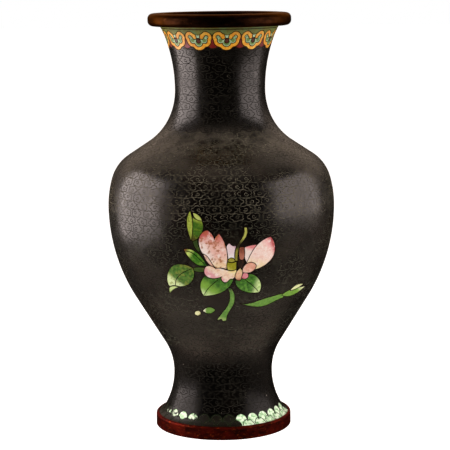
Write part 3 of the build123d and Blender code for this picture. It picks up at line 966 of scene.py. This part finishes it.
@dataclass
class ScaleWires:
    """Wires round the two staggered rows of scales on the foot."""

    wall: Wall
    metal: object
    count: int = 30
    phase: float = 17.0
    rows: tuple[tuple[float, float, float], ...] = ((12.5, 4.1, 0.0), (8.5, 4.3, 0.5))
    wire: float = 0.5
    lift: float = 0.07
    sink: float = 0.4
    above_ring: float = 0.15
    upper_start: float = -8.0

    def build(self) -> None:
        """Make arcs over each scale: centre at the row's height, radius grown by half a wire.

        The upper row's arcs start at upper_start degrees, the lower row's just above the foot ring.
        """
        pitch = TURN / self.count
        strips = Strips(self.wire, self.lift, self.sink)
        lowest = self.wall.START[1] + self.above_ring
        for level, radius, shift in self.rows:
            reach = radius + self.wire / 2
            low = self.upper_start
            if shift:
                low = math.degrees(math.asin((lowest - level) / reach))
            path = arc((0, level), reach, low, 180 - low, 27)
            angle = np.arcsin(path[:, 0] / self.wall.radius_at(path[:, 1]))
            turns = math.radians(self.phase) + (np.arange(self.count) + shift) * pitch
            along = np.broadcast_to(self.wall.along_at(path[:, 1]), (self.count, len(path)))
            strips.sweep(*self.wall.place(angle[None, :] + turns[:, None], along))
        settle(strips.mesh("scale_wires"), self.metal)


# --- cloud scrolls ---
class WireLight(Enum):
    """Painted light and shade on a stretch's wires, as lighter and darker copies of one wire: material name,
    dull colour and bright colour.
    """

    PAINTED_DARK = ("tarnished_cloud_wire", (0.0025, 0.0025, 0.002), (0.022, 0.02, 0.015))
    PAINTED_MID = ("cloud_wire", (0.008, 0.008, 0.006), (0.068, 0.066, 0.046))
    PAINTED_LIGHT = ("rubbed_cloud_wire", (0.018, 0.017, 0.012), (0.13, 0.118, 0.084))


class Zone(Enum):
    """Stretches of the wall that carry cloud scrolls: name, lowest and highest height, and the painted light
    on their wires.
    """

    # Painted shade on the foot and neck wires, painted light on the shoulder's.
    FOOT = ("foot", 17.6, 64.0, WireLight.PAINTED_DARK)
    LOWER_BELLY = ("lower_belly", 64.0, 122.0, WireLight.PAINTED_MID)
    BELLY = ("belly", 122.0, 165.0, WireLight.PAINTED_MID)
    SHOULDER = ("shoulder", 165.0, 222.0, WireLight.PAINTED_LIGHT)
    NECK = ("neck", 222.0, 286.0, WireLight.PAINTED_DARK)


@dataclass
class CloudScrolls:
    """Staggered rows of cloud-shaped scroll wires in the black ground."""

    wall: Wall
    heads: RuyiHeads
    metals: dict[WireLight, object]
    spray: list[np.ndarray]
    seed: int = 20
    pitch: float = 11.0
    row: float = 5.5
    half_width: float = 5.25
    half_height: float = 2.95
    wire: float = 0.48
    lift: float = 0.05
    sink: float = 0.32
    collar_gap: float = 0.7
    highest: float = 286.8
    shortest: int = 3

    def outline(self) -> np.ndarray:
        """The closed lobed outline of a cloud, in units of its half-width and half-height.

        Radius is 0.74 + 0.26 * |sin(2.5 a)|^0.6 at angle a, so five lobes meet in five cusps.

        Returns:
            Points round the outline.
        """
        angle = np.linspace(0.0, 1.0, 21) * TURN
        reach = 0.74 + 0.26 * np.abs(np.sin(2.5 * angle)) ** 0.6
        return np.stack((reach * np.cos(angle), reach * np.sin(angle)), -1)

    def curl(self) -> np.ndarray:
        """The hook inside a cloud: a spiral whose radius grows from 0.12 to 0.36 over one turn.

        Returns:
            Points along the hook, in the outline's units.
        """
        share = np.linspace(0.0, 1.0, 8)
        reach = 0.12 + 0.24 * share
        angle = 0.95 * share * TURN
        return np.stack((0.1 + reach * np.cos(angle), 1.35 * reach * np.sin(angle)), -1)

    def on_spray(self, x: np.ndarray, y: np.ndarray, z: np.ndarray) -> np.ndarray:
        """Whether points lie in the front-view outline of a spray cell.

        Crossing number: a point is inside where a level line from it meets an odd number of edges.

        Args:
            x: places to the right, in millimetres.
            y: places towards the back.
            z: heights.

        Returns:
            True where a point is on the front and inside.
        """
        inside = np.zeros(x.shape, bool)
        for loop in self.spray:
            after = np.roll(loop, -1, axis=0)
            low = loop[:, 1][:, None] > z[None, :]
            high = after[:, 1][:, None] > z[None, :]
            rise = after[:, 1] - loop[:, 1]
            slope = (after[:, 0] - loop[:, 0]) / np.where(rise == 0, 1e-9, rise)
            meet = loop[:, 0][:, None] + (z[None, :] - loop[:, 1][:, None]) * slope[:, None]
            inside |= (((low != high) & (x[None, :] < meet)).sum(0) % 2).astype(bool)
        return inside & (y < 0)

    def build(self) -> None:
        """Lay every zone's rows and drop the stretches that would cross a design."""
        rng = np.random.default_rng(self.seed)
        outline = self.outline()
        curl = self.curl()
        for zone in Zone:
            name, low, high, wire_light = zone.value
            strips = Strips(self.wire, self.lift, self.sink)
            first, last = (float(self.wall.along_at(height)) for height in (low, high))
            rows = round((last - first) / self.row)
            middles = first + (np.arange(rows) + 0.5) * (last - first) / rows
            for number, middle in enumerate(middles):
                radius = float(np.interp(middle, self.wall.along, self.wall.radii))
                count = round(TURN * radius / self.pitch)
                places = np.arange(count) + 0.5 * (number % 2) + rng.uniform(-0.05, 0.05, count)
                turns = places * TURN / count
                flip = rng.choice((-1.0, 1.0), (count, 1))
                tip = rng.choice((-1.0, 1.0), (count, 1), p=(0.25, 0.75))
                tilt = rng.uniform(-0.1, 0.1, (count, 1))
                size = rng.uniform(0.93, 1.03, (count, 1))
                stretch = rng.uniform(0.96, 1.04, (count, 1))
                rise = rng.uniform(-0.2, 0.2, (count, 1))
                shift = rng.uniform(-0.15, 0.15, (count, 1))
                for unit, slide in ((outline, 0.0), (curl, shift)):
                    across = (unit[None, :, 0] + slide) * flip * size * stretch * self.half_width
                    up = unit[None, :, 1] * tip * size / stretch * self.half_height
                    along = middle + up * np.cos(tilt) + across * np.sin(tilt) + rise
                    angle = turns[:, None] + (across * np.cos(tilt) - up * np.sin(tilt)) / radius
                    self.lay(strips, angle, np.clip(along, 0, self.wall.along[-1]))
            settle(strips.mesh(f"cloud_wires_{name}"), self.metals[wire_light])

    def lay(self, strips: Strips, angle: np.ndarray, along: np.ndarray) -> None:
        """Sweep one row's scrolls, leaving out runs of stations on the spray or the collar.

        Args:
            strips: the wires being made.
            angle: turn of each station, shaped (scrolls, stations).
            along: arc length of each station.
        """
        point, normal = self.wall.place(angle, along)
        flat = point.reshape(-1, 3)
        blocked = self.on_spray(flat[:, 0], flat[:, 1], flat[:, 2])
        radius = np.hypot(flat[:, 0], flat[:, 1])
        blocked |= self.heads.covers(angle.reshape(-1), flat[:, 2], radius, self.collar_gap)
        blocked |= flat[:, 2] > self.highest
        blocked = blocked.reshape(angle.shape)
        whole = ~blocked.any(1)
        if whole.any():
            strips.sweep(point[whole], normal[whole])
        for number in np.flatnonzero(~whole & ~blocked.all(1)):
            free = ~blocked[number]
            edges = np.flatnonzero(np.diff(np.concatenate(([0], free.astype(int), [0]))))
            for start, end in zip(edges[::2], edges[1::2]):
                if end - start >= self.shortest:
                    strips.sweep(point[None, number, start:end], normal[None, number, start:end])


# --- dressing the CAD nodes ---
CREAM = (0.88, 0.68, 0.38)
PINK = (0.8, 0.27, 0.28)
DEEP_PINK = (0.46, 0.05, 0.07)
SALMON = (0.74, 0.33, 0.23)
LEAF = (0.06, 0.23, 0.012)
DARK_LEAF = (0.012, 0.075, 0.006)
BLOTCH = (0.42, 0.13, 0.04)


def cell_enamels() -> tuple[CellEnamel, ...]:
    """Every spray cell's enamel; a row is its node, body, shades, blotch, blotch size and so on.

    Returns:
        One enamel for each cell.
    """
    white = (0.93, 0.82, 0.78)
    lime = (0.52, 0.7, 0.16)
    rows = (
        ("petal_left", (0.88, 0.58, 0.51), ((white, (-8.0, 148.5), (-12.5, 146.0)), (CREAM, (-1, 142),
         (1.0, 131)), (PINK, (-8, 151), (-7, 158)), ((0.62, 0.17, 0.14), (-3.4, 146), (-2.6, 155)),
         (DEEP_PINK, (-9.5, 154.5), (-13.0, 159.0)),), BLOTCH, 2.6, 0.85, 0.5, white),
        ("petal_under", (0.8, 0.6, 0.5), ((SALMON, (-8, 138), (-4, 132)),), BLOTCH, 2.0, 0.4),
        ("petal_front", (0.9, 0.72, 0.56), (((0.88, 0.74, 0.3), (3, 127.4), (5, 130.4)),
         ((0.72, 0.24, 0.27), (-8.0, 129), (-12.0, 127)), ((0.76, 0.36, 0.4), (2.6, 124.6), (0.8, 121.8)),),
         (0.7, 0.32, 0.18), 2.2, 0.5, 0.4, white),
        ("petal_right", (0.9, 0.72, 0.66), (((0.88, 0.72, 0.42), (26, 140), (24, 131)), ((0.84, 0.36, 0.38),
         (30.5, 144), (35.5, 148)), (DEEP_PINK, (34.4, 142), (37.4, 143)),), (0.78, 0.4, 0.3), 2.4, 0.5,
         0.35, white),
        ("petal_right_back", (0.88, 0.76, 0.72), ((PINK, (19, 143.2), (20, 146.6)),), None, 2, 0, 0.3),
        ("petal_back", (0.84, 0.7, 0.74), (((0.55, 0.24, 0.36), (6.6, 146), (9.0, 149.5)),
         ((0.88, 0.84, 0.84), (6, 144), (6, 139)),), None, 2, 0, 0.3),
        ("petal_salmon", (0.78, 0.42, 0.31), (((0.88, 0.66, 0.54), (18, 131), (14, 128)),), SALMON, 2, 0.6,
         0.5, (0.88, 0.62, 0.52)),
        ("petal_small", (0.76, 0.3, 0.34), ((DEEP_PINK, (15.2, 125), (13.6, 123.4)),)),
        ("petal_orange", (0.84, 0.56, 0.36), (((0.7, 0.6, 0.28), (12, 127), (12.6, 131)),
         ((0.3, 0.07, 0.04), (12, 125.0), (12.4, 122)),), BLOTCH, 1.6, 0.7),
        ("petal_red", (0.26, 0.08, 0.05), (((0.46, 0.17, 0.12), (14, 144), (14, 139)),), BLOTCH, 1.4),
        ("flower_eye", (0.022, 0.012, 0.008), (), (0.1, 0.035, 0.015), 1.5),
        ("pistil_cup", (0.36, 0.36, 0.012), (((0.5, 0.48, 0.08), (5.5, 133), (4, 131)),)),
        ("pistil_top", (0.4, 0.38, 0.05), (), (0.2, 0.18, 0.02), 1.2),
        ("stamen", (0.3, 0.28, 0.04), (((0.025, 0.022, 0.008), (10, 143), (11, 147)), ((0.44, 0.46, 0.1),
         (12.5, 149), (14.5, 154)),)),
        ("leaf_lower_left", LEAF, (((0.2, 0.42, 0.03), (0, 118), (-5, 112)), ((0.66, 0.84, 0.4),
         (-11.5, 117), (-14, 111.5)), (DARK_LEAF, (-4, 121), (-4, 126)),), (0.15, 0.38, 0.03), 2.6, 0.6,
         0.95),
        ("leaf_lower_right", LEAF, (((0.62, 0.82, 0.34), (21, 118.5), (25.5, 117)), (DARK_LEAF, (13, 119),
         (9, 122)),), (0.15, 0.4, 0.03), 2.6, 0.6, 0.95),
        ("leaf_upper", LEAF, ((lime, (-20.5, 139.5), (-23.5, 141.5)), ((0.2, 0.08, 0.02), (-23.2, 142.6),
         (-25.0, 144.4)), (DARK_LEAF, (-14, 136), (-11, 133.8)),), (0.2, 0.4, 0.04), 2.2, 0.6, 0.95),
        ("leaf_left", (0.085, 0.23, 0.02), (((0.56, 0.76, 0.24), (-33.0, 125), (-36.8, 121)),
         ((0.66, 0.82, 0.4), (-28, 120.6), (-30, 117.6)), ((0.1, 0.13, 0.015), (-26.5, 130), (-25, 134)),),
         (0.24, 0.28, 0.03), 2.4, 0.7, 0.95),
        ("leaf_left_tip", (0.56, 0.72, 0.28), (((0.26, 0.4, 0.08), (-35.6, 114), (-36.8, 111.5)),)),
        ("stem_side", (0.045, 0.11, 0.012), (), (0.12, 0.08, 0.02)),
        ("bud_left_sepal", (0.42, 0.52, 0.09), (((0.18, 0.22, 0.03), (-21.8, 158), (-21.3, 152)),),
         (0.16, 0.2, 0.02), 2.0, 0.8),
        ("bud_right_sepal", (0.52, 0.62, 0.17), ()),
        ("bud_body", (0.06, 0.17, 0.015), (((0.3, 0.4, 0.05), (-18, 163.5), (-17, 166)),
         ((0.07, 0.06, 0.01), (-16.5, 156), (-18.5, 152)),), (0.16, 0.26, 0.02), 1.8, 0.7, 0.7),
        ("stem_bud", (0.035, 0.075, 0.012), (), (0.09, 0.11, 0.02)),
        ("stem_main", (0.13, 0.33, 0.036), (((0.018, 0.055, 0.01), (5, 112.0), (4.4, 115.6)),
         ((0.34, 0.48, 0.14), (0.6, 94.4), (-1, 90)),), (0.2, 0.36, 0.06), 1.6, 0.6, 0.7),
        ("twig", (0.15, 0.36, 0.035), (((0.05, 0.08, 0.02), (18, 103), (13, 104)),), (0.05, 0.13, 0.012),
         1.6, 0.6, 0.6),
        ("twig_bud", (0.18, 0.38, 0.035), (((0.72, 0.8, 0.42), (53, 109), (58, 110.5)),)),
        ("twig_bud_sepal", (0.72, 0.78, 0.42), ()),
        ("fallen_bud", (0.14, 0.34, 0.03), (((0.8, 0.84, 0.56), (-11, 98.4), (-13, 98.4)),)),
        ("seed", (0.74, 0.76, 0.42), (((0.28, 0.28, 0.07), (-17, 96), (-15.8, 95)),)),
    )
    return tuple(CellEnamel(*row) for row in rows)


@dataclass
class Dresser:
    """Gives each CAD node its finish; the heads are the collar's design, for the fields' pale edges."""

    nodes: dict
    heads: RuyiHeads

    def paint(self, finish: object, *names: str) -> object:
        """Make a finish once and give it to nodes.

        Args:
            finish: an object with a make method.
            names: the nodes.

        Returns:
            The material.
        """
        material = finish.make()
        for name in names:
            mesh = self.nodes[name].data
            mesh.materials.clear()
            mesh.materials.append(material)
        LOG.info("%s on %s", material.name, ", ".join(names))
        return material

    def dress(self) -> None:
        """Dress the metal, the grounds, the borders and the spray."""
        self.paint(GroundEnamel(), "ground_belly", "ground_neck", "ground_foot")
        self.paint(
            Patina("rim_patina", (0.007, 0.0026, 0.0015), (0.028, 0.01, 0.0045), (0.075, 0.027, 0.011),
                   0.3, 1.0, 0.6, (1.0, 0.62, 0.42)),
            "rim_ring",
        )
        self.paint(
            Patina("foot_patina", (0.018, 0.0015, 0.001), (0.105, 0.006, 0.0025), (0.34, 0.055, 0.008),
                   0.32, 0.8, 0.8, (1.0, 0.3, 0.16)),
            "foot_ring",
        )
        self.paint(
            Patina("body_copper", (0.16, 0.06, 0.035), (0.34, 0.15, 0.09), (0.45, 0.25, 0.16),
                   0.42, 0.85, 0.6),
            "foot_shell", "belly_shell", "shoulder_shell", "neck_shell", "base_plate",
        )
        self.paint(LiningEnamel(), "lining_enamel", "base_enamel")
        yellow = (0.94, 0.62, 0.08)
        green = (0.14, 0.27, 0.09)
        for node, enamel in (
            ("ruyi_borders", CellEnamel("border_enamel", (0.8, 0.36, 0.02), (), yellow, 1.6, 0.85, 0.35)),
            ("ruyi_eyes", CellEnamel("eye_enamel", (0.1, 0.018, 0.012), (), (0.3, 0.035, 0.03), 1.2)),
            ("gap_cells", CellEnamel("gap_enamel", (0.2, 0.012, 0.01), (), (0.26, 0.015, 0.055), 9.0, 0.9)),
            ("collar_enamel", CellEnamel("collar_green", (0.2, 0.22, 0.045), (), green, 7.0, 0.8, gloss=0.3)),
            ("ruyi_fields", FieldEnamel("field_enamel", (0.13, 0.24, 0.06), (0.44, 0.66, 0.42), self.heads)),
            ("scales_upper", ScaleEnamel("upper_scale_enamel", 17.0)),
            ("scales_lower", ScaleEnamel("lower_scale_enamel", 23.0)),
            *((enamel.name, enamel) for enamel in cell_enamels()),
            ("spray_wires", WireMetal("spray_wire", (0.006, 0.004, 0.003), (0.02, 0.012, 0.007))),
        ):
            self.paint(enamel, node)


# --- studio ---
@dataclass(frozen=True)
class SoftBox:
    """A rectangular light: its centre and the point it faces in metres, its size and its radiance.

    Its power is pi * area * radiance. One that isn't mirrored shows in no glossy surface.
    """

    name: str
    place: Colour
    aim: Colour
    size: Span
    radiance: float
    colour: Colour = (1.0, 0.86, 0.82)
    mirrored: bool = True

    def build(self) -> None:
        """Add the light."""
        data = bpy.data.lights.new(self.name, "AREA")
        data.shape = "RECTANGLE"
        data.size, data.size_y = self.size
        data.energy = math.pi * self.size[0] * self.size[1] * self.radiance
        data.color = self.colour
        made = bpy.data.objects.new(self.name, data)
        away = Vector(self.place) - Vector(self.aim)
        made.matrix_world = Matrix.Translation(self.place) @ away.to_track_quat("Z", "Y").to_matrix().to_4x4()
        made.visible_glossy = self.mirrored
        bpy.context.scene.collection.objects.link(made)


@dataclass
class Studio:
    """Floor, soft lights and the camera; lengths in metres, angles in radians."""

    distance: float = 1.2125
    height: float = 0.3393
    lens: float = 133.1
    pitch: float = 0.1552
    roll: float = 0.01054
    pan: float = 0.0021
    table_edge: float = -0.19
    table_glow: float = 0.92
    overhead: float = 0.4
    below: float = 0.38
    beside: float = 0.2
    behind: float = 0.62
    everywhere: float = 0.015
    tint: Colour = (1.0, 0.78, 0.62)
    lights: tuple[SoftBox, ...] = (
        SoftBox("left_panel", (-0.52, 0.0, 0.28), (0.0, 0.0, 0.28), (0.56, 0.56), 3.8),
        SoftBox("right_panel", (0.52, -0.08, 0.32), (0.0, 0.0, 0.32), (0.58, 0.46), 2.2),
        SoftBox("front_fill", (0.3, -1.3, 1.0), (0.0, 0.0, 0.27), (1.0, 1.0), 6.5, (1.0, 0.95, 0.92), False),
    )

    def camera(self) -> None:
        """Place the camera in front, looking slightly down, with a slight roll and pan."""
        data = bpy.data.cameras.new("camera")
        data.lens = self.lens
        data.sensor_width = 36.0
        data.clip_end = 50.0
        made = bpy.data.objects.new("camera", data)
        turn = Matrix.Rotation(-self.pan, 4, "Z") @ Matrix.Rotation(math.pi / 2 - self.pitch, 4, "X")
        made.matrix_world = (
            Matrix.Translation((0, -self.distance, self.height)) @ turn @ Matrix.Rotation(-self.roll, 4, "Z")
        )
        bpy.context.scene.collection.objects.link(made)
        bpy.context.scene.camera = made

    def floor(self) -> None:
        """A wide pale table top whose front edge is near the vase, computed as a grid."""
        x = np.array([-8.0, -2.0, -0.6, -0.2, 0.0, 0.2, 0.6, 2.0, 8.0])
        y = np.array([self.table_edge, 0.0, 0.2, 0.6, 2.0, 8.0])
        wide, deep = np.meshgrid(x, y, indexing="ij")
        points = np.stack((wide, deep, np.zeros_like(wide)), -1).reshape(-1, 3)
        index = np.arange(wide.size).reshape(wide.shape)
        quads = np.stack((index[:-1, :-1], index[1:, :-1], index[1:, 1:], index[:-1, 1:]), -1).reshape(-1, 4)
        made = make_mesh("floor", points, (quads,))
        t = NodeTree.finish("floor_paint")
        made.data.materials.append(t.surface({
            "Base Color": t.mix(t.noise(400, 2), (0.82, 0.82, 0.82), (0.86, 0.86, 0.86)),
            "Emission Color": (1.0, 1.0, 1.0),
            "Emission Strength": self.table_glow,
            "Roughness": 0.8,
        }))
        made.visible_glossy = False

    def world(self) -> None:
        """White to look at; as a source of light, dim in front and brighter all round it.

        With b = y / length(x, y), which is -1 in front and 1 behind, brightness is overhead * rise(z) +
        below * rise(-z) + behind * rise(b), between the horizon and overhead, + beside * rise(1 - b * b),
        near the horizon, + a little everywhere.
        """
        t = NodeTree(bpy.data.worlds.new("studio"), "ShaderNodeOutputWorld", "Generated")
        x, y, z = t.axes()
        back = y / (x * x + y * y + 0.0001).sqrt()
        strength = z.step(0.7, 0.96) * self.overhead + (0 - z).step(0.6, 0.95) * self.below
        strength = strength + back.step(0.3, 0.7) * z.step(0.0, 0.4) * z.step(0.95, 0.7) * self.behind
        strength = strength + (1 - back * back).step(0.3, 0.95) * z.step(0.15, -0.1) * self.beside
        strength = strength + self.everywhere
        lit = t.add("ShaderNodeBackground", None, {"Color": self.tint, "Strength": strength})
        seen = t.add("ShaderNodeBackground", None, {"Color": (1.0, 1.0, 1.0), "Strength": 1.0})
        direct = t.add("ShaderNodeLightPath").value("Is Camera Ray")
        both = t.add("ShaderNodeMixShader", None, {0: direct, 1: lit.link(), 2: seen.link()})
        bpy.context.scene.world = t.show(both.link())

    def build(self) -> None:
        """Set the whole studio."""
        bpy.context.scene.view_settings.view_transform = "Standard"
        self.camera()
        self.floor()
        self.world()
        for light in self.lights:
            light.build()


def spray_loops(nodes: dict, margin: float = 0.7) -> list[np.ndarray]:
    """Front-view outlines of the spray, one round each of its cells.

    Args:
        nodes: CAD objects by name.
        margin: how far outside a cell its outline runs, in millimetres.

    Returns:
        Closed loops of (x, z), in millimetres.
    """
    loops = []
    for enamel in cell_enamels():
        mesh = nodes[enamel.name].data
        points = np.empty(len(mesh.vertices) * 3, np.float32)
        mesh.vertices.foreach_get("co", points)
        loops.append(hull(points.reshape(-1, 3)[:, (0, 2)] / MM, margin))
    return loops


def hull(points: np.ndarray, margin: float, bins: int = 48, sag: float = 2.2) -> np.ndarray:
    """A star-shaped loop round points: the furthest point in each direction from their middle.

    A direction reaches at least as far as its two neighbours' sum divided by sag, so none is notched.

    Args:
        points: (x, z) pairs.
        margin: distance added outwards.
        bins: how many directions.
        sag: what the neighbours' sum is divided by.

    Returns:
        The loop's points.
    """
    middle = (points.min(0) + points.max(0)) / 2
    away = points - middle
    angle = np.arctan2(away[:, 1], away[:, 0])
    reach = np.hypot(away[:, 0], away[:, 1])
    number = np.floor((angle + math.pi) / TURN * bins).astype(int) % bins
    furthest = np.zeros(bins)
    np.maximum.at(furthest, number, reach)
    place = (np.arange(bins) + 0.5) / bins * TURN - math.pi
    known = furthest > 0
    filled = np.interp(place, place[known], furthest[known], period=TURN)
    filled = np.maximum(filled, (np.roll(filled, 1) + np.roll(filled, -1)) / sag) + margin
    return middle + np.stack((filled * np.cos(place), filled * np.sin(place)), -1)


def main() -> None:
    """Build the wires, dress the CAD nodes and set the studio."""
    logging.basicConfig(level=logging.INFO, format="%(name)s: %(message)s")
    wall = Wall()
    heads = RuyiHeads()
    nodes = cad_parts
    Dresser(nodes, heads).dress()
    # Lit and shaded copies of the cloud wire, one for each zone: painted light and shade.
    metals = {wire_light: WireMetal(*wire_light.value).make() for wire_light in WireLight}
    collar_metal = WireMetal("collar_wire", (0.012, 0.006, 0.003), (0.05, 0.026, 0.012)).make()
    CollarWires(wall, heads, collar_metal).build()
    scale_metal = WireMetal("scale_wire", (0.008, 0.012, 0.006), (0.022, 0.03, 0.012)).make()
    ScaleWires(wall, scale_metal).build()
    CloudScrolls(wall, heads, metals, spray_loops(nodes)).build()
    Studio().build()


if __name__ == "__main__":
    main()
